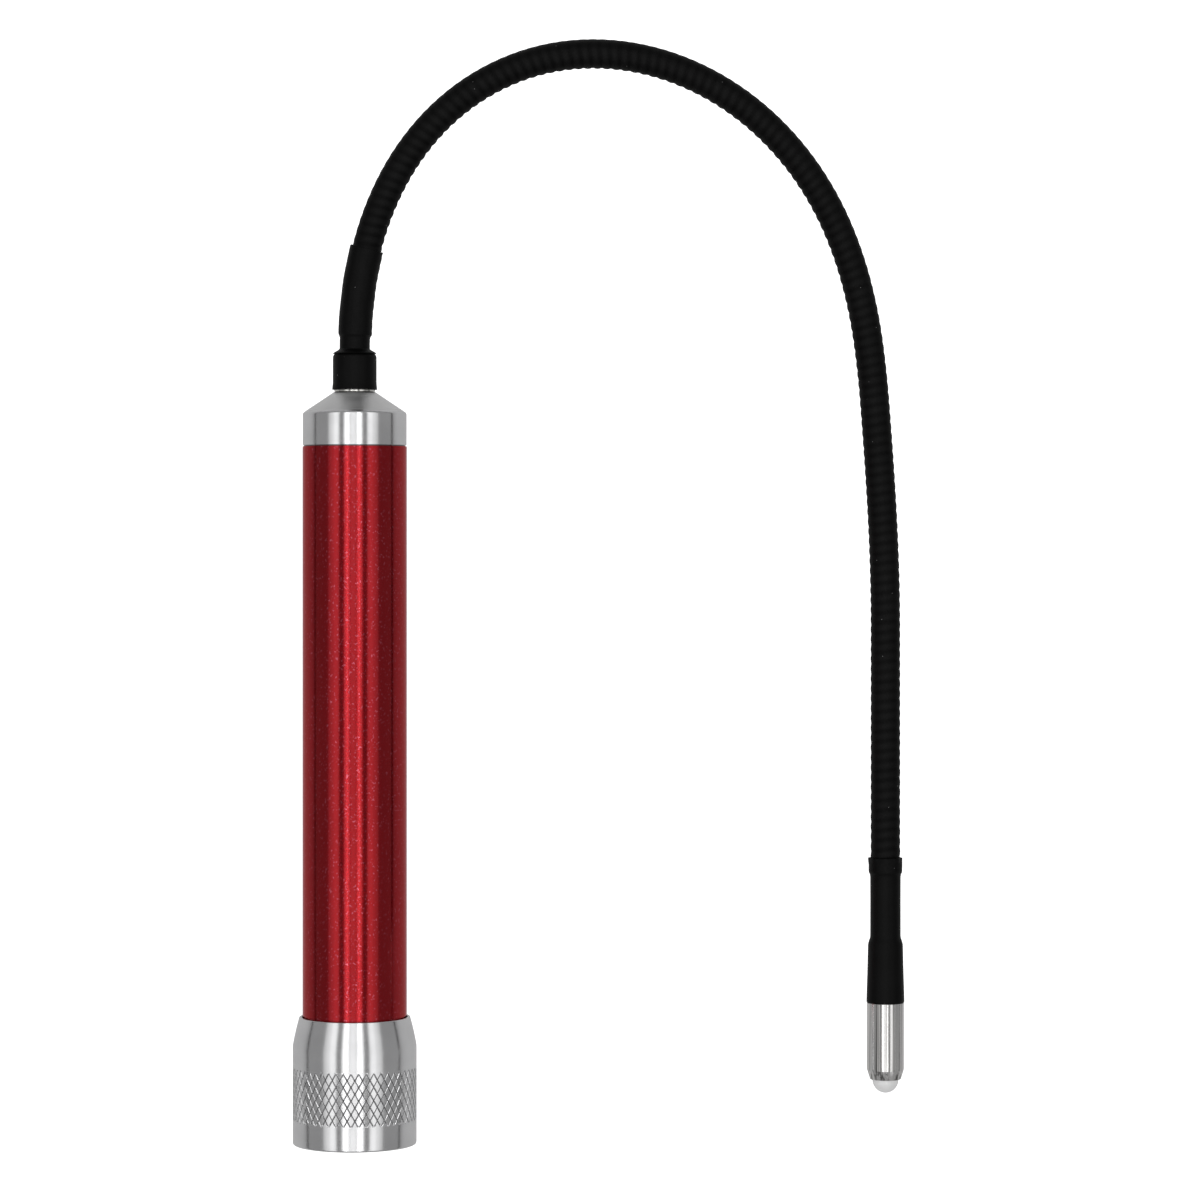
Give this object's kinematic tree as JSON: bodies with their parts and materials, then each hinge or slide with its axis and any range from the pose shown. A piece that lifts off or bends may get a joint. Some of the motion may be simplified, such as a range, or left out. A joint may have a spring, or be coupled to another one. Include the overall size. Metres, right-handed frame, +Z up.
{
  "type": "magnetic pickup tool",
  "caption": "Lighted magnetic pickup tool: red battery handle with a knurled screw cap, and a black ribbed gooseneck bent into a hook that ends in a small magnet with a lamp in its nose.",
  "frame": {"origin": "middle of the footprint of the whole tool as it lies on a table, at table level", "axes": "+Y along the handle from the tail face to the neck, +Z up from the table, +X from the handle towards the hanging tip of the hook"},
  "size_m": [0.117, 0.2114, 0.0237],
  "materials": {
    "red_anodised": "satin anodised, fine turning marks",
    "turned_aluminium": "bright turned, knurled band",
    "seal_rubber": "smooth",
    "cell_case": "printed film, plain",
    "white_plastic": "moulded",
    "contact_brass": "stamped",
    "circuit_board": "solder mask",
    "component_black": "moulded",
    "plated_brass": "nickel plated",
    "coil_steel": "drawn wire",
    "shrink_tube": "satin",
    "sleeve_rubber": "matt ribbed",
    "wire_red": "smooth",
    "wire_black": "smooth",
    "spring_steel": "plated wire",
    "nickel_plate": "bright nickel",
    "magnet": "nickel plated magnet",
    "led_epoxy": "clear polished",
    "lead_wire": "tinned"
  },
  "bodies": {
    "handle": {"barrel": "red_anodised", "neck_cap": "turned_aluminium", "neck_seal": "seal_rubber", "tail_seal": "seal_rubber", "battery_rear": "cell_case", "battery_front": "cell_case", "contact_carrier": "white_plastic", "front_contact": "contact_brass", "driver_board": "circuit_board", "board_resistor": "component_black", "board_chip": "component_black", "gooseneck_ferrule": "plated_brass", "ferrule_nut": "plated_brass", "coil_root": "coil_steel", "base_shrink": "shrink_tube", "gooseneck_sleeve": "sleeve_rubber", "led_wire_red": "wire_red", "led_wire_black": "wire_black"},
    "tail_contact": {"spring_plate": "contact_brass", "tail_spring": "spring_steel"},
    "tail_cap": {"tail_cap": "turned_aluminium"},
    "span_01": {"coil_01": "coil_steel"},
    "span_02": {"coil_02": "coil_steel"},
    "span_03": {"coil_03": "coil_steel"},
    "span_04": {"coil_04": "coil_steel"},
    "span_05": {"coil_05": "coil_steel"},
    "span_06": {"coil_06": "coil_steel"},
    "span_07": {"coil_07": "coil_steel"},
    "span_08": {"coil_08": "coil_steel"},
    "span_09": {"coil_09": "coil_steel"},
    "span_10": {"coil_10": "coil_steel"},
    "span_11": {"coil_11": "coil_steel"},
    "span_12": {"coil_12": "coil_steel"},
    "span_13": {"coil_13": "coil_steel"},
    "span_14": {"coil_14": "coil_steel"},
    "span_15": {"coil_15": "coil_steel"},
    "span_16": {"coil_16": "coil_steel"},
    "span_17": {"coil_17": "coil_steel"},
    "span_18": {"coil_18": "coil_steel"},
    "span_19": {"coil_19": "coil_steel"},
    "span_20": {"coil_20": "coil_steel"},
    "span_21": {"coil_21": "coil_steel"},
    "span_22": {"coil_22": "coil_steel"},
    "span_23": {"coil_23": "coil_steel"},
    "span_24": {"coil_24": "coil_steel", "tip_ferrule": "plated_brass", "tip_shrink": "shrink_tube", "tip_shell": "nickel_plate", "tip_magnet": "magnet", "led": "led_epoxy", "led_lead_red": "lead_wire", "led_lead_black": "lead_wire", "led_holder": "white_plastic"}
  },
  "joints": [
    {"name": "tail_cap_travel", "type": "slide", "parent": "handle", "child": "tail_contact", "axis": [0, -1, 0], "range_m": [0, 0.01], "deforming": ["tail_spring"]},
    {"name": "tail_cap_turn", "type": "hinge", "parent": "tail_contact", "child": "tail_cap", "pos_m": [-0.04669, -0.10571, 0.01185], "axis": [0, -1, 0], "range_deg": [0, 2880]},
    {"name": "neck_bend", "type": "hinge", "parent": "handle", "child": "span_01", "pos_m": [-0.04669, 0.04579, 0.01185], "axis": [0, 0.002, -1], "range_deg": [-18, 4], "deforming": ["gooseneck_sleeve", "base_shrink", "led_wire_red", "led_wire_black"]},
    {"name": "neck_bend_2", "type": "hinge", "parent": "span_01", "child": "span_02", "pos_m": [-0.04602, 0.05676, 0.01185], "axis": [0.0002, 0.002, -1], "range_deg": [-18, 4]},
    {"name": "neck_sway", "type": "hinge", "parent": "span_02", "child": "span_03", "pos_m": [-0.04384, 0.06753, 0.01185], "axis": [0.9619, -0.2734, 0], "range_deg": [-14, 14]},
    {"name": "neck_bend_3", "type": "hinge", "parent": "span_03", "child": "span_04", "pos_m": [-0.03986, 0.07777, 0.01185], "axis": [0.0009, 0.0018, -1], "range_deg": [-18, 4]},
    {"name": "neck_bend_4", "type": "hinge", "parent": "span_04", "child": "span_05", "pos_m": [-0.03391, 0.08699, 0.01185], "axis": [0.0013, 0.0016, -1], "range_deg": [-18, 4]},
    {"name": "neck_bend_5", "type": "hinge", "parent": "span_05", "child": "span_06", "pos_m": [-0.02598, 0.09458, 0.01185], "axis": [0.0016, 0.0012, -1], "range_deg": [-18, 4]},
    {"name": "arch_bend", "type": "hinge", "parent": "span_06", "child": "span_07", "pos_m": [-0.01641, 0.09994, 0.01185], "axis": [0.0019, 0.0007, 1], "range_deg": [-4, 24]},
    {"name": "arch_bend_2", "type": "hinge", "parent": "span_07", "child": "span_08", "pos_m": [-0.00577, 0.1026, 0.01185], "axis": [0.002, 0.0002, 1], "range_deg": [-4, 24]},
    {"name": "neck_sway_2", "type": "hinge", "parent": "span_08", "child": "span_09", "pos_m": [0.0052, 0.10242, 0.01185], "axis": [-0.1423, -0.9898, 0], "range_deg": [-14, 14]},
    {"name": "arch_bend_3", "type": "hinge", "parent": "span_09", "child": "span_10", "pos_m": [0.0158, 0.09959, 0.01185], "axis": [0.0019, -0.0007, 1], "range_deg": [-4, 24]},
    {"name": "arch_bend_4", "type": "hinge", "parent": "span_10", "child": "span_11", "pos_m": [0.0255, 0.09445, 0.01185], "axis": [0.0017, -0.0011, 1], "range_deg": [-4, 24]},
    {"name": "arch_bend_5", "type": "hinge", "parent": "span_11", "child": "span_12", "pos_m": [0.03391, 0.08739, 0.01185], "axis": [0.0014, -0.0014, 1], "range_deg": [-4, 24]},
    {"name": "shoulder_bend", "type": "hinge", "parent": "span_12", "child": "span_13", "pos_m": [0.04076, 0.07881, 0.01185], "axis": [0.0011, -0.0017, -1], "range_deg": [-18, 6]},
    {"name": "shoulder_bend_2", "type": "hinge", "parent": "span_13", "child": "span_14", "pos_m": [0.04591, 0.06911, 0.01185], "axis": [0.0008, -0.0018, -1], "range_deg": [-18, 6]},
    {"name": "tip_sway", "type": "hinge", "parent": "span_14", "child": "span_15", "pos_m": [0.04943, 0.05869, 0.01185], "axis": [-0.9682, -0.2502, 0], "range_deg": [-20, 20]},
    {"name": "shoulder_bend_3", "type": "hinge", "parent": "span_15", "child": "span_16", "pos_m": [0.05158, 0.04791, 0.01185], "axis": [0.0003, -0.002, -1], "range_deg": [-18, 6]},
    {"name": "shoulder_bend_4", "type": "hinge", "parent": "span_16", "child": "span_17", "pos_m": [0.05277, 0.03698, 0.01185], "axis": [0.0002, -0.002, -1], "range_deg": [-18, 6]},
    {"name": "shoulder_bend_5", "type": "hinge", "parent": "span_17", "child": "span_18", "pos_m": [0.05359, 0.02601, 0.01185], "axis": [0.0001, -0.002, -1], "range_deg": [-18, 6]},
    {"name": "tip_bend", "type": "hinge", "parent": "span_18", "child": "span_19", "pos_m": [0.05427, 0.01503, 0.01185], "axis": [0.0001, -0.002, -1], "range_deg": [-20, 13]},
    {"name": "tip_bend_2", "type": "hinge", "parent": "span_19", "child": "span_20", "pos_m": [0.05473, 0.00404, 0.01185], "axis": [0.0001, -0.002, -1], "range_deg": [-20, 13]},
    {"name": "tip_sway_2", "type": "hinge", "parent": "span_20", "child": "span_21", "pos_m": [0.0549, -0.00696, 0.01185], "axis": [-1, 0, 0], "range_deg": [-20, 20]},
    {"name": "tip_bend_3", "type": "hinge", "parent": "span_21", "child": "span_22", "pos_m": [0.0549, -0.01796, 0.01185], "axis": [0, -0.002, -1], "range_deg": [-20, 13]},
    {"name": "tip_bend_4", "type": "hinge", "parent": "span_22", "child": "span_23", "pos_m": [0.0549, -0.02896, 0.01185], "axis": [0, -0.002, -1], "range_deg": [-20, 13]},
    {"name": "tip_bend_5", "type": "hinge", "parent": "span_23", "child": "span_24", "pos_m": [0.0549, -0.03996, 0.01185], "axis": [0, -0.002, -1], "range_deg": [-20, 13]}
  ],
  "couplings": [
    {"joint": "tail_cap_turn", "follows": "tail_cap_travel", "rad_per_m": 5026.5},
    {"joint": "neck_bend_2", "follows": "neck_bend", "ratio": 1},
    {"joint": "neck_bend_3", "follows": "neck_bend", "ratio": 1},
    {"joint": "neck_bend_4", "follows": "neck_bend", "ratio": 1},
    {"joint": "neck_bend_5", "follows": "neck_bend", "ratio": 1},
    {"joint": "arch_bend_2", "follows": "arch_bend", "ratio": 1},
    {"joint": "neck_sway_2", "follows": "neck_sway", "ratio": 1},
    {"joint": "arch_bend_3", "follows": "arch_bend", "ratio": 1},
    {"joint": "arch_bend_4", "follows": "arch_bend", "ratio": 1},
    {"joint": "arch_bend_5", "follows": "arch_bend", "ratio": 1},
    {"joint": "shoulder_bend_2", "follows": "shoulder_bend", "ratio": 1},
    {"joint": "shoulder_bend_3", "follows": "shoulder_bend", "ratio": 1},
    {"joint": "shoulder_bend_4", "follows": "shoulder_bend", "ratio": 1},
    {"joint": "shoulder_bend_5", "follows": "shoulder_bend", "ratio": 1},
    {"joint": "tip_bend_2", "follows": "tip_bend", "ratio": 1},
    {"joint": "tip_sway_2", "follows": "tip_sway", "ratio": 1},
    {"joint": "tip_bend_3", "follows": "tip_bend", "ratio": 1},
    {"joint": "tip_bend_4", "follows": "tip_bend", "ratio": 1},
    {"joint": "tip_bend_5", "follows": "tip_bend", "ratio": 1}
  ]
}
